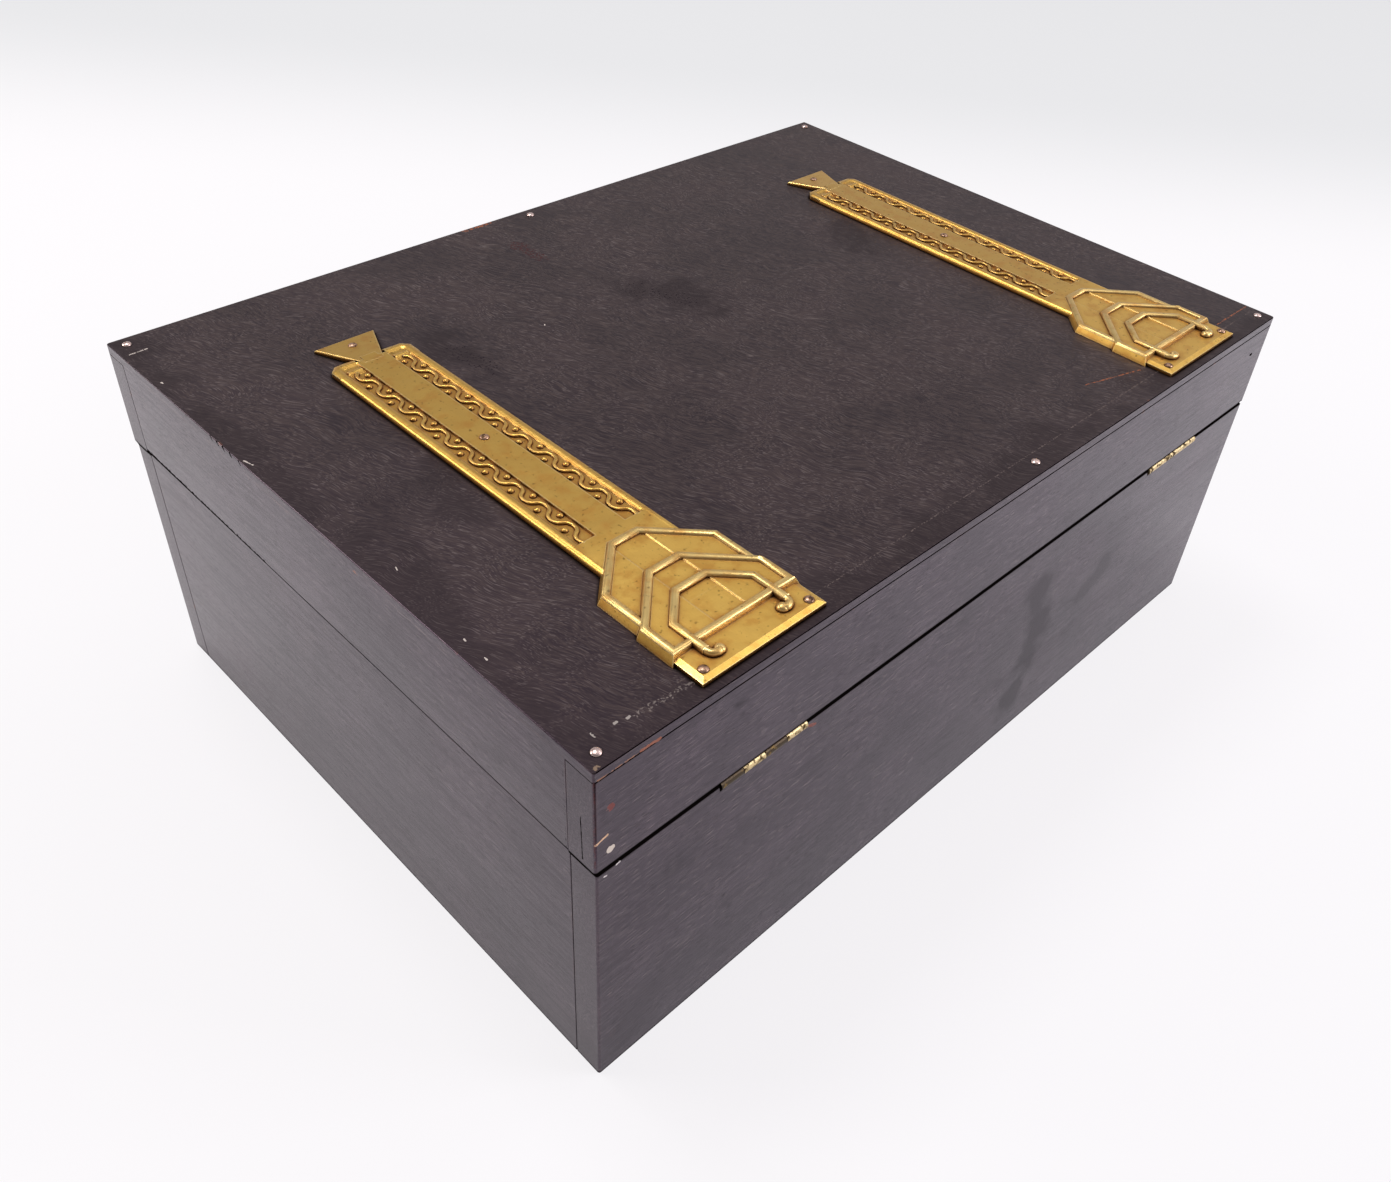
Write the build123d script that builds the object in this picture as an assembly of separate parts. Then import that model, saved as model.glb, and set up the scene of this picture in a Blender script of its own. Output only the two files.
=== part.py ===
from build123d import *
import os
from math import asin, atan, cos, degrees, pi, sin, sqrt

# Keepsake box: two trays of plain boards, hinged at the back, with two stamped brass straps on the lid.
# Millimetres. +X is to the right seen from the front, +Y is the back (hinge side), +Z is up.
# The origin is the centre of the lid's outline, at the height of the surface that the box stands on.

# The box
length = 300.0
depth = 217.0
base_height = 85.5
lid_height = 33.8
board = 9.0
top_board = 3.0
bottom_board = 7.0
base_setback = 0.5
corner_round = 2.0
top_edge_round = 1.2
base_seam_chamfer = 1.0
lid_seam_chamfer = 0.3
wood_play = 0.02

right_x = length / 2
back_y = depth / 2
base_right_x = right_x - base_setback
base_front_y = -back_y + base_setback
seam_z = base_height
top_z = seam_z + lid_height
panel_z = top_z - top_board

# Brads that hold the boards together, with small flush heads
brad_radius = 0.8
brad_head_radius = 1.2
brad_head = 0.8
brad_length = 24.0
base_brad_first_z = 15.0
base_brad_pitch = 19.0
base_brads_per_corner = 4
lid_brad_low = 6.0
lid_brad_high = 20.0
brads_per_long_side = 4
brads_per_short_side = 3
bottom_brad_margin = 35.0

# Domed pins that hold the lid's top board
pin_radius = 0.6
pin_head_radius = 1.35
pin_head = 0.7
panel_pin_length = 10.0
panel_pin_inset = 4.2
back_middle_pin_x = -12.5

# Butt hinges, let into the base's back board
hinge_length = 30.0
leaf_width = 7.2
leaf_thickness = 0.7
leaf_spread = 1.1
hinge_pin_radius = 0.65
turning_play = 0.05
gripping_play = 0.01
knuckles = 4
knuckle_gap = 0.2
pin_inset = 0.8
barrel_clearance = 0.25
notch_end_play = 0.3
right_hinge_from_end = 53.5
left_hinge_from_end = 49.7

barrel_radius = hinge_pin_radius + turning_play + leaf_thickness
swept_radius = barrel_radius + barrel_clearance
knuckle_length = (hinge_length - (knuckles - 1) * knuckle_gap) / knuckles
axis_y = back_y - pin_inset
axis_z = seam_z - leaf_spread

# Countersunk hinge screws
screw_radius = 0.9
screw_head_radius = 1.7
screw_length = 9.0
screw_point = 2.0
screw_spacing = 17.0
screw_from_axis = 4.5
slot_width = 0.4
slot_depth = 0.35

# Stamped brass straps. They run from a square plate near the back edge to an arrow tip near the front.
sheet = 0.7
strap_length = 172.8
strap_from_back = 2.9
right_strap_from_end = 53.2
right_strap_skew = 0.3
left_strap_from_end = 45.0

plate_half_width = 20.2
plate_height = 1.6
plate_bevel = 0.8
rib_width = 2.35
rib_bevel = 0.5
skirt = 1.0

step_v = 9.6
big_arch_half_width = 20.0
big_arch_flat = 5.3
big_arch_top_v = 35.4
big_arch_panel = 2.3
big_arch_rib = 3.0
far_arch_half_width = 18.9
far_arch_flat = 4.7
far_arch_lead = 14.0
far_arch_panel = 1.9
far_arch_rib = 2.6
loop_half_width = 14.25
loop_flat = 5.35
loop_setback = 9.0
loop_rib = 3.2
bar_width = 2.2
hook_v = 5.9
hook_turn = 1.9
hook_drop = 1.1
hook_ball_radius = 1.6

body_half_width = 13.0
body_height = 1.9
body_bevel = 0.7
body_shoulder = 2.2
neck_half_width = 2.6
tip_length = 14.5
lobe_past_neck = 2.0
tip_half_width = 9.9
tip_height = 1.0
channel_inner = 4.8
channel_outer = 10.2
channel_depth = 0.8
channel_start_gap = 4.2
channel_end_gap = 6.9
last_crest_gap = 2.7
wave_pitch = 10.65
wave_swing = 1.5
wave_width = 0.9
wave_height = 0.55
bead_radius = 0.85
bead_side = 1.5

plate_pin_inset = 2.95
middle_pin_from_tip = 68.3
tip_pin_from_tip = 4.7
pin_end_cover = 0.4

far_arch_top_v = big_arch_top_v + far_arch_lead
loop_top_v = big_arch_top_v - loop_setback
neck_v = strap_length - tip_length
body_end_v = neck_v + lobe_past_neck
channel_start_v = far_arch_top_v + channel_start_gap
channel_end_v = body_end_v - channel_end_gap
wave_crest_v = channel_end_v - last_crest_gap


def box_between(low, high):
    """A block from its lowest corner to its highest."""
    size = [b - a for a, b in zip(low, high)]
    middle = [(a + b) / 2 for a, b in zip(low, high)]
    return Pos(*middle) * Box(*size)


def turned(points):
    """A solid turned about Z from the (radius, height) points of its profile."""
    return revolve(Plane.XZ * make_face(Polyline(*points, close=True)), Axis.Z)


def at(x, y, z, outward):
    """A place on a face, with local +Z pointing out of the face."""
    return Plane(origin=(x, y, z), z_dir=outward)


def group(solids):
    """Separate solids kept together under one name."""
    return Compound(children=list(solids))


# Nails, pins and screws. Each is made with its head on top and its shank going down local -Z.


def brad(play=0.0):
    """A brad with a small flat head, flush with the wood."""
    shank = brad_radius + play
    head = brad_head_radius + play
    tip = brad_length + play
    knee = 2 * shank - tip
    return turned([(0, 0), (head, 0), (head, -brad_head), (shank, -brad_head), (shank, knee), (0, -tip)])


def domed_pin(reach, play=0.0):
    """A pin whose domed head stands on the surface, with its point at depth reach."""
    shank = pin_radius + play
    tip = reach + play
    crown_radius = (pin_head_radius ** 2 + pin_head ** 2) / (2 * pin_head)
    half_turn = asin(pin_head_radius / crown_radius) / 2
    crown_middle = (crown_radius * sin(half_turn), pin_head - crown_radius * (1 - cos(half_turn)))
    side = Polyline((0, pin_head), (0, -tip), (shank, 2 * shank - tip), (shank, 0), (pin_head_radius, 0))
    crown = ThreePointArc((pin_head_radius, 0), crown_middle, (0, pin_head))
    return revolve(Plane.XZ * make_face(side + crown), Axis.Z)


def screw(play=0.0):
    """A countersunk screw whose head is as deep as the hinge leaf is thick."""
    shank = screw_radius + play
    head = screw_head_radius + play
    tip = screw_length + play
    return turned([(0, 0), (head, 0), (shank, -leaf_thickness), (shank, screw_point - tip), (0, -tip)])


# The boards


def long_board(front_face, low_z, high_z, half_length):
    """A front or back board, running the full length, with its two outer upright corners worn round."""
    block = box_between((-half_length, front_face, low_z), (half_length, front_face + board, high_z))
    outer_side = 0 if front_face < 0 else -1
    corners = block.edges().filter_by(Axis.Z).group_by(Axis.Y)[outer_side]
    return fillet(corners, corner_round)


def end_board(side, half_length, front_inner, low_z, high_z):
    """A board fitted between the front and back boards, at the right (side 1) or left (side -1) end."""
    outer = side * half_length
    inner = side * (half_length - board)
    return box_between((min(outer, inner), front_inner, low_z), (max(outer, inner), back_y - board, high_z))


def cut(wood, tools):
    """Wood with a hole or recess for each tool."""
    for tool in tools:
        wood = wood - tool
    return wood


# Where the brads go


def base_joint_places():
    """Heads on the base's front and back faces, at the four upright corners."""
    places = []
    for side in (-1, 1):
        x = side * (base_right_x - board / 2)
        for step in range(base_brads_per_corner):
            z = base_brad_first_z + step * base_brad_pitch
            places.append(at(x, base_front_y, z, (0, -1, 0)))
            places.append(at(x, back_y, z, (0, 1, 0)))
    return places


def lid_joint_places():
    """Heads on the lid's front and back faces, at the four upright corners."""
    places = []
    for side in (-1, 1):
        x = side * (right_x - board / 2)
        for rise in (lid_brad_low, lid_brad_high):
            places.append(at(x, -back_y, seam_z + rise, (0, -1, 0)))
            places.append(at(x, back_y, seam_z + rise, (0, 1, 0)))
    return places


def spread(count, reach):
    """Evenly spaced places from -reach to reach."""
    return [-reach + 2 * reach * step / (count - 1) for step in range(count)]


def bottom_brad_places():
    """Heads low on all four sides, driven into the edges of the bottom board."""
    z = bottom_board / 2
    places = []
    for x in spread(brads_per_long_side, base_right_x - bottom_brad_margin):
        places.append(at(x, base_front_y, z, (0, -1, 0)))
        places.append(at(x, back_y, z, (0, 1, 0)))
    for y in spread(brads_per_short_side, back_y - bottom_brad_margin):
        places.append(at(base_right_x, y, z, (1, 0, 0)))
        places.append(at(-base_right_x, y, z, (-1, 0, 0)))
    return places


def panel_pin_places():
    """Heads on the lid's top, over the front and back boards."""
    x = right_x - panel_pin_inset
    y = back_y - panel_pin_inset
    spots = [(x, y), (-x, y), (x, -y), (-x, -y), (back_middle_pin_x, y), (0, -y)]
    return [at(spot_x, spot_y, top_z, (0, 0, 1)) for spot_x, spot_y in spots]


# Hinges, made with the pin's axis along X at the local origin and the wood towards -Y


def knuckle_start(index):
    """Right-hand end of a knuckle, counted from the right."""
    return hinge_length / 2 - index * (knuckle_length + knuckle_gap)


def rod(radius, start, end):
    """A cylinder along X from start down to end."""
    return Pos((start + end) / 2, 0, 0) * Rot(0, 90, 0) * Cylinder(radius, start - end)


def screw_places(side):
    """Screw heads on the inner face of the lid's leaf (side 1) or the base's leaf (side -1)."""
    face = side * (leaf_spread - leaf_thickness)
    return [at(x, -screw_from_axis, face, (0, 0, -side)) for x in spread(2, screw_spacing / 2)]


def hinge_leaf(side, own, bore_play):
    """One leaf with its own knuckles; side 1 lies under the lid, side -1 on the base's notch floor."""
    low, high = sorted((side * (leaf_spread - leaf_thickness), side * leaf_spread))
    leaf = box_between((-hinge_length / 2, -leaf_width, low), (hinge_length / 2, 0, high))
    for index in range(knuckles):
        start = knuckle_start(index)
        end = start - knuckle_length
        if index not in own:
            leaf = leaf - rod(swept_radius, start + knuckle_gap, end - knuckle_gap)
    for index in own:
        start = knuckle_start(index)
        leaf = leaf + rod(barrel_radius, start, start - knuckle_length)
    leaf = leaf - rod(hinge_pin_radius + bore_play, hinge_length, -hinge_length)
    return cut(leaf, screw_holes(side))


def screw_holes(side):
    """The holes for the two screws of one leaf, through the leaf and into the wood."""
    return [place * screw(wood_play) for place in screw_places(side)]


def hinge_screws(side):
    """The two slotted screws of one leaf."""
    slot = Box(3 * screw_head_radius, slot_width, 2 * slot_depth)
    return [place * (screw() - slot) for place in screw_places(side)]


def hinge_place(side, from_end):
    """Where a hinge sits on the back of the box."""
    return Pos(side * (right_x - from_end), axis_y, axis_z)


def base_notch():
    """Notch in the base's back edge for one hinge: a shallow bed for the leaves, deeper for the barrel."""
    half = hinge_length / 2 + notch_end_play
    reach = pin_inset + base_seam_chamfer
    bed = box_between((-half, -leaf_width - notch_end_play, -leaf_spread), (half, reach, leaf_spread))
    trough = box_between((-half, -swept_radius, -swept_radius), (half, reach, 0))
    return bed + trough


def lid_relief():
    """Groove in the lid's back lower edge, round the hinge barrel."""
    half = hinge_length / 2 + notch_end_play
    return rod(swept_radius, half, -half)


# Straps, made with the square end's middle at the local origin, u across and v along local +Y


def arch_face(half_width, flat, top_v, bottom_v, inset=0.0):
    """An arch outline with 45 degree shoulders; inset moves every side inwards."""
    half = half_width - inset
    top = top_v - inset
    narrow = flat + inset - inset * sqrt(2)
    knee = top - (half - narrow)
    points = [(-half, bottom_v), (half, bottom_v), (half, knee), (narrow, top), (-narrow, top), (-half, knee)]
    return make_face(Polyline(*points, close=True))


def leaning(face, height, slope):
    """A flat-topped form whose walls lean inwards by slope over its height."""
    return extrude(face, height, taper=degrees(atan(slope / height)))


def softened(solid, bevel):
    """The solid with its top edges bevelled."""
    return chamfer(solid.edges().group_by(Axis.Z)[-1], bevel)


def arch(half_width, flat, top_v, bottom_v, foot, panel_height, rib_height):
    """One arch of the buckle: a raised panel inside a bevelled rib, with leaning side walls.

    The rib runs along the bottom too where foot is more than 0, and is open there where it is less.
    """
    walls = leaning(arch_face(half_width, flat, top_v, bottom_v, -skirt), panel_height, skirt)
    outer = arch_face(half_width, flat, top_v, bottom_v)
    inner = arch_face(half_width, flat, top_v, bottom_v + foot, rib_width)
    rib = softened(extrude(outer - inner, rib_height), rib_bevel)
    return walls + rib


def buckle():
    """The square plate, two nested arches, and a loop whose arms cross the bar and end in inward hooks."""
    plate_top_v = big_arch_top_v - (big_arch_half_width - big_arch_flat)
    plate = box_between((-plate_half_width, 0, 0), (plate_half_width, plate_top_v, plate_height))
    form = softened(plate, plate_bevel)
    far = (far_arch_half_width, far_arch_flat, far_arch_top_v, plate_top_v)
    form += arch(*far, -rib_width, far_arch_panel, far_arch_rib)
    big = (big_arch_half_width, big_arch_flat, big_arch_top_v, step_v)
    form += arch(*big, bar_width, big_arch_panel, big_arch_rib)
    loop = arch_face(loop_half_width, loop_flat, loop_top_v, hook_v)
    loop -= arch_face(loop_half_width, loop_flat, loop_top_v, hook_v - rib_width, rib_width)
    form += softened(extrude(loop, loop_rib), rib_bevel)
    for side in (-1, 1):
        form += hook(side)
    return form


def hook(side):
    """The turned-in end of one arm, with a small ball at its point."""
    arm_u = side * (loop_half_width - rib_width / 2)
    ball_u = arm_u - side * hook_turn
    ball_v = hook_v - hook_drop
    bend = Pos(arm_u, hook_v, 0) * extrude(Circle(rib_width / 2), loop_rib - rib_bevel)
    ball = Pos(ball_u, ball_v, plate_height) * Sphere(hook_ball_radius)
    ball = ball - box_between((-2 * length, -2 * length, -length), (2 * length, 2 * length, 0))
    return bend + ball


def body_points():
    """Half outline of the strap's body and arrow tip, on the right side from the buckle to the tip."""
    start_v = far_arch_top_v - (body_half_width - far_arch_flat) - rib_width
    return [
        (body_half_width, start_v),
        (body_half_width, body_end_v - body_shoulder),
        (body_half_width - body_shoulder, body_end_v),
        (channel_inner, body_end_v),
        (neck_half_width, neck_v),
    ]


def channel_face(side, start_v, end_v):
    """One sunk channel, running along the strap beside its plain middle."""
    width = channel_outer - channel_inner
    middle = side * (channel_outer + channel_inner) / 2
    return Pos(middle, (start_v + end_v) / 2) * Rectangle(width, end_v - start_v)


def wave_point(side, v):
    """A point of the running wave's middle line; the waves in the two channels mirror each other."""
    middle = (channel_outer + channel_inner) / 2
    return (side * (middle + wave_swing * cos(2 * pi * (v - wave_crest_v) / wave_pitch)), v)


def wave(side):
    """The raised running wave in one channel, with a bead in each of its bays."""
    floor = body_height - channel_depth
    steps = round(8 * (channel_end_v - channel_start_v) / wave_pitch)
    pace = (channel_end_v - channel_start_v) / steps
    line = [wave_point(side, channel_start_v + pace * step) for step in range(steps + 1)]
    left = [(u - wave_width / 2, v) for u, v in line]
    right = [(u + wave_width / 2, v) for u, v in reversed(line)]
    pieces = [extrude(Pos(0, 0, floor) * make_face(Polyline(*left, *right, close=True)), wave_height)]
    middle = (channel_outer + channel_inner) / 2
    bays = int((wave_crest_v - channel_start_v - bead_radius) / (wave_pitch / 2))
    for bay in range(bays + 1):
        u = side * (middle - bead_side * (-1) ** bay)
        v = wave_crest_v - bay * wave_pitch / 2
        pieces.append(Pos(u, v, floor) * Cone(bead_radius, bead_radius / 2, 2 * wave_height))
    return pieces


def strap_body():
    """The long body with bevelled edges and two sunk channels, and the flat arrow tip."""
    half = body_points()
    outline = half + [(-u, v) for u, v in reversed(half)]
    body = softened(extrude(make_face(Polyline(*outline, close=True)), body_height), body_bevel)
    tip_outline = [
        (neck_half_width, neck_v),
        (tip_half_width, strap_length),
        (-tip_half_width, strap_length),
        (-neck_half_width, neck_v),
    ]
    tip = extrude(make_face(Polyline(*tip_outline, close=True)), tip_height)
    for side in (-1, 1):
        face = channel_face(side, channel_start_v, channel_end_v)
        body -= Pos(0, 0, body_height - channel_depth) * extrude(face, channel_depth)
    return body + tip


def hollows():
    """The hollow backs of the stamped forms, a sheet's thickness inside them."""
    plate_top_v = big_arch_top_v - (big_arch_half_width - big_arch_flat)
    plate = box_between(
        (-plate_half_width + plate_bevel + sheet, plate_bevel + sheet, 0),
        (plate_half_width - plate_bevel - sheet, step_v, plate_height - sheet),
    )
    big = arch_face(big_arch_half_width, big_arch_flat, big_arch_top_v, step_v + sheet, sheet)
    far = arch_face(far_arch_half_width, far_arch_flat, far_arch_top_v, plate_top_v, sheet)
    big = extrude(big, big_arch_panel - sheet)
    far = extrude(far, far_arch_panel - sheet)
    side = channel_inner - sheet
    middle = box_between((-side, far_arch_top_v, 0), (side, channel_end_v, body_height - sheet))
    channels = box_between(
        (-channel_outer, channel_start_v, 0),
        (channel_outer, channel_end_v, body_height - channel_depth - sheet),
    )
    return [plate, big, far, middle, channels]


def strap_pin_spots():
    """Where the four pins of a strap go, with the height that each head stands at."""
    return [
        (plate_pin_inset - plate_half_width, plate_pin_inset, plate_height),
        (plate_half_width - plate_pin_inset, plate_pin_inset, plate_height),
        (0, strap_length - middle_pin_from_tip, body_height),
        (0, strap_length - tip_pin_from_tip, tip_height),
    ]


def strap():
    """One stamped strap."""
    form = buckle() + strap_body()
    for side in (-1, 1):
        for piece in wave(side):
            form += piece
    for hollow in hollows():
        form -= hollow
    for u, v, height in strap_pin_spots():
        form -= Pos(u, v, 0) * Cylinder(pin_radius + wood_play, 4 * height)
    return form


def strap_pins(play=0.0):
    """The four pins of a strap, each ending just inside the lid's top board."""
    reach = top_board - pin_end_cover
    return [Pos(u, v, height) * domed_pin(height + reach, play) for u, v, height in strap_pin_spots()]


def strap_place(side, from_end, skew):
    """Where a strap lies on the lid: square end at the back, tip towards the front."""
    return Location((side * (right_x - from_end), back_y - strap_from_back, top_z), (0, 0, 180 + skew))


# The whole box

hinge_places = {
    "right": hinge_place(1, right_hinge_from_end),
    "left": hinge_place(-1, left_hinge_from_end),
}
strap_places = {
    "right": strap_place(1, right_strap_from_end, right_strap_skew),
    "left": strap_place(-1, left_strap_from_end, 0.0),
}


def base_parts():
    """The lower tray: two long boards, two end boards between them and a bottom inside all four."""
    joint_holes = [place * brad(wood_play) for place in base_joint_places()]
    bottom_holes = [place * brad(wood_play) for place in bottom_brad_places()]
    hinge_holes = [spot * hole for spot in hinge_places.values() for hole in screw_holes(-1)]
    front = long_board(base_front_y, 0, seam_z, base_right_x)
    back = long_board(back_y - board, 0, seam_z, base_right_x)
    back_edge = back.edges().filter_by(Axis.X).group_by(Axis.Z)[-1].sort_by(Axis.Y)[-1]
    back = chamfer(back_edge, base_seam_chamfer)
    back = cut(back, [spot * base_notch() for spot in hinge_places.values()])
    inner_front = base_front_y + board
    bottom = box_between(
        (board - base_right_x, inner_front, 0),
        (base_right_x - board, back_y - board, bottom_board),
    )
    return {
        "base_front_board": cut(front, joint_holes + bottom_holes),
        "base_back_board": cut(back, joint_holes + bottom_holes + hinge_holes),
        "base_right_end": cut(end_board(1, base_right_x, inner_front, 0, seam_z), joint_holes + bottom_holes),
        "base_left_end": cut(end_board(-1, base_right_x, inner_front, 0, seam_z), joint_holes + bottom_holes),
        "base_bottom_board": cut(bottom, bottom_holes),
        "base_joint_brads": group(place * brad() for place in base_joint_places()),
        "base_bottom_brads": group(place * brad() for place in bottom_brad_places()),
    }


def lid_parts():
    """The lid: a shallow frame of the same boards, with a thin top board over them."""
    joint_holes = [place * brad(wood_play) for place in lid_joint_places()]
    pin_holes = [place * domed_pin(panel_pin_length, wood_play) for place in panel_pin_places()]
    strap_holes = [place * pin for place in strap_places.values() for pin in strap_pins(wood_play)]
    hinge_holes = [spot * hole for spot in hinge_places.values() for hole in screw_holes(1)]
    front = long_board(-back_y, seam_z, panel_z, right_x)
    back = long_board(back_y - board, seam_z, panel_z, right_x)
    back_edge = back.edges().filter_by(Axis.X).group_by(Axis.Z)[0].sort_by(Axis.Y)[-1]
    back = chamfer(back_edge, lid_seam_chamfer)
    back = cut(back, [spot * lid_relief() for spot in hinge_places.values()])
    panel = box_between((-right_x, -back_y, panel_z), (right_x, back_y, top_z))
    panel = fillet(panel.edges().filter_by(Axis.Z), corner_round)
    panel = fillet(panel.edges().group_by(Axis.Z)[-1], top_edge_round)
    inner_front = -back_y + board
    return {
        "lid_front_board": cut(front, joint_holes + pin_holes),
        "lid_back_board": cut(back, joint_holes + pin_holes + hinge_holes),
        "lid_right_end": cut(end_board(1, right_x, inner_front, seam_z, panel_z), joint_holes),
        "lid_left_end": cut(end_board(-1, right_x, inner_front, seam_z, panel_z), joint_holes),
        "lid_top_board": cut(panel, pin_holes + strap_holes),
        "lid_joint_brads": group(place * brad() for place in lid_joint_places()),
        "lid_top_pins": group(place * domed_pin(panel_pin_length) for place in panel_pin_places()),
    }


def strap_parts():
    """Both straps with their pins."""
    form = strap()
    parts = {}
    for name, place in strap_places.items():
        parts[name + "_strap"] = place * form
        parts[name + "_strap_pins"] = group(place * pin for pin in strap_pins())
    return parts


def hinge_parts():
    """Both hinges; the base's leaf has every other knuckle from the right and grips the pin."""
    base_own = range(0, knuckles, 2)
    lid_own = range(1, knuckles, 2)
    base_leaf = hinge_leaf(-1, base_own, gripping_play)
    lid_leaf = hinge_leaf(1, lid_own, turning_play)
    pin = rod(hinge_pin_radius, hinge_length / 2, -hinge_length / 2)
    parts = {}
    for name, place in hinge_places.items():
        parts[name + "_hinge_base_leaf"] = place * base_leaf
        parts[name + "_hinge_lid_leaf"] = place * lid_leaf
        parts[name + "_hinge_pin"] = place * pin
        parts[name + "_hinge_base_screws"] = group(place * one for one in hinge_screws(-1))
        parts[name + "_hinge_lid_screws"] = group(place * one for one in hinge_screws(1))
    return parts


os.makedirs("parts", exist_ok=True)
for node, shape in {**base_parts(), **lid_parts(), **strap_parts(), **hinge_parts()}.items():
    export_step(shape, "parts/" + node + ".step")
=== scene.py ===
from math import cos, pi, radians, sin, sqrt

import bmesh
import bpy
from mathutils import Matrix, Vector


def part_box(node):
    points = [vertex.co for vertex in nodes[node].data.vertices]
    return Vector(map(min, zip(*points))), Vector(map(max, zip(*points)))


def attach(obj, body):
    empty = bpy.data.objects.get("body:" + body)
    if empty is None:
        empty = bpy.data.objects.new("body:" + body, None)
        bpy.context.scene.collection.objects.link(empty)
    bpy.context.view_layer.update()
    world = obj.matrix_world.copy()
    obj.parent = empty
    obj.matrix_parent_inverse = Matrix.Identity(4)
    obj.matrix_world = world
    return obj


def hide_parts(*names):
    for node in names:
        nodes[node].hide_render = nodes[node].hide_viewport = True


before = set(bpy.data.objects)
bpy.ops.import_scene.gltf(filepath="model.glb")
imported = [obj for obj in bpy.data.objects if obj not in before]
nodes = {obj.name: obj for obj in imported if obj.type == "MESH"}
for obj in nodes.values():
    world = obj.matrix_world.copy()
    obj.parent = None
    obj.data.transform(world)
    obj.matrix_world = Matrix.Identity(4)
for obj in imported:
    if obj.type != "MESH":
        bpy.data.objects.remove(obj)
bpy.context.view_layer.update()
bpy.ops.object.select_all(action="DESELECT")


# The view
# The photograph is taken from behind and above the box's right end, with the camera tipped a little to one
# side. Its frame is 1391 by 1182 pixels.

def mm(*values):
    """A size, or a place, given in millimetres, in metres."""
    return values[0] / 1000 if len(values) == 1 else Vector(values) / 1000


camera_place = mm(253.9, 234.6, 311.3)
camera_aim = Vector((-0.57784, -0.50974, -0.63739))
camera_tip = radians(5.02)
frame_width = 1391
lens_in_pixels = 1237.8
centre_off = (46.9, -30.3)

camera = bpy.data.objects.new("camera", bpy.data.cameras.new("camera"))
bpy.context.collection.objects.link(camera)
camera.data.sensor_width = 36
camera.data.lens = camera.data.sensor_width * lens_in_pixels / frame_width
camera.data.shift_x = -centre_off[0] / frame_width
camera.data.shift_y = centre_off[1] / frame_width
camera.data.clip_start = 0.01
level = camera_aim.to_track_quat("-Z", "Y").to_matrix()
tipped = level @ Matrix.Rotation(camera_tip, 3, "Z")
camera.matrix_world = Matrix.Translation(camera_place) @ tipped.to_4x4()
bpy.context.scene.camera = camera
bpy.context.scene.view_settings.view_transform = "Standard"


# The table and the light
# A white sweep of paper under soft lamps. The paper curves up out of sight, so here it is one wide pale
# floor. The room over it is darker than the paper, which keeps the top of the lid dark.

def linear(colour):
    """A colour written as sRGB hex, in the linear values that a shader takes."""
    parts = [int(colour[place:place + 2], 16) / 255 for place in (1, 3, 5)]
    return [part / 12.92 if part <= 0.04045 else ((part + 0.055) / 1.055) ** 2.4 for part in parts] + [1.0]


def add(tree, kind, inputs=(), out=0, **settings):
    """Adds a node and gives back one of its outputs. Its inputs take values, or other nodes' outputs."""
    node = tree.nodes.new("ShaderNode" + kind)
    for name, value in settings.items():
        setattr(node, name, value)
    for socket, value in dict(inputs).items():
        if isinstance(value, bpy.types.NodeSocket):
            tree.links.new(value, node.inputs[socket])
        else:
            node.inputs[socket].default_value = value
    return node.outputs[out] if node.outputs else node


def new_material(name):
    """A node material with nothing in it yet, and its tree."""
    material = bpy.data.materials.new(name)
    material.use_nodes = True
    material.node_tree.nodes.clear()
    return material, material.node_tree


# White background paper, uncoated: matt and even, with painted shade making it a little greyer at its far
# end. The camera sees mostly its plain colour, and the wood's gloss sees some of it, so it stays white where
# the lamps leave it dim.
paper, tree = new_material("white_paper_sweep")
place = add(tree, "TexCoord", out="Object")
away = add(tree, "VectorMath", {0: place, 1: (-0.75, -0.66, 0.0)}, out="Value", operation="DOT_PRODUCT")
# Painted shade: the paper's colour turns greyer towards its far end, where the light falls off.
far_painted_shade = add(tree, "MapRange", {0: away, 1: mm(330), 2: mm(620)}, interpolation_type="SMOOTHSTEP")
white = add(tree, "Mix", {0: far_painted_shade, 6: linear("#faf8fa"), 7: linear("#e8e8ea")}, out=2, data_type="RGBA")
matt = add(tree, "BsdfPrincipled", {"Base Color": white, "Roughness": 0.8})
glow = add(tree, "Emission", {"Color": white, "Strength": 1.0})
seen = add(tree, "LightPath", out="Is Camera Ray")
mirrored = add(tree, "Math", {0: add(tree, "LightPath", out="Is Glossy Ray"), 1: 0.3}, operation="MULTIPLY")
share = add(tree, "Math", {0: seen, 1: 0.85, 2: mirrored}, operation="MULTIPLY_ADD")
surface = add(tree, "MixShader", {0: share, 1: matt, 2: glow})
add(tree, "OutputMaterial", {"Surface": surface})

bpy.ops.mesh.primitive_plane_add(size=8, location=(0, 0, 0))
floor = bpy.context.object
floor.name = "floor"
floor.data.materials.append(paper)

# The room is as bright as the paper low down, mid grey above, and paler again high over the box's left end.
world = bpy.data.worlds.new("studio")
bpy.context.scene.world = world
world.use_nodes = True
tree = world.node_tree
tree.nodes.clear()
way = add(tree, "TexCoord", out="Generated")
height = add(tree, "SeparateXYZ", {0: way}, out="Z")
above = add(tree, "MapRange", {0: height, 1: 0.2, 2: 0.42})
slant = add(tree, "VectorMath", {0: way, 1: (-0.45, 0.0, 0.9)}, out="Value", operation="DOT_PRODUCT")
high = add(tree, "MapRange", {0: slant, 1: 0.56, 2: 0.87})
walls = add(tree, "Mix", {0: high, 6: linear("#7c7b7e"), 7: linear("#d8d6d9")}, out=2, data_type="RGBA")
room = add(tree, "Mix", {0: above, 6: linear("#f4f2f4"), 7: walls}, out=2, data_type="RGBA")
light = add(tree, "Background", {"Color": room, "Strength": 0.9})
white = add(tree, "Background", {"Color": linear("#f4f4f6"), "Strength": 1.0})
seen = add(tree, "LightPath", out="Is Camera Ray")
shown = add(tree, "MixShader", {0: seen, 1: light, 2: white})
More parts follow.
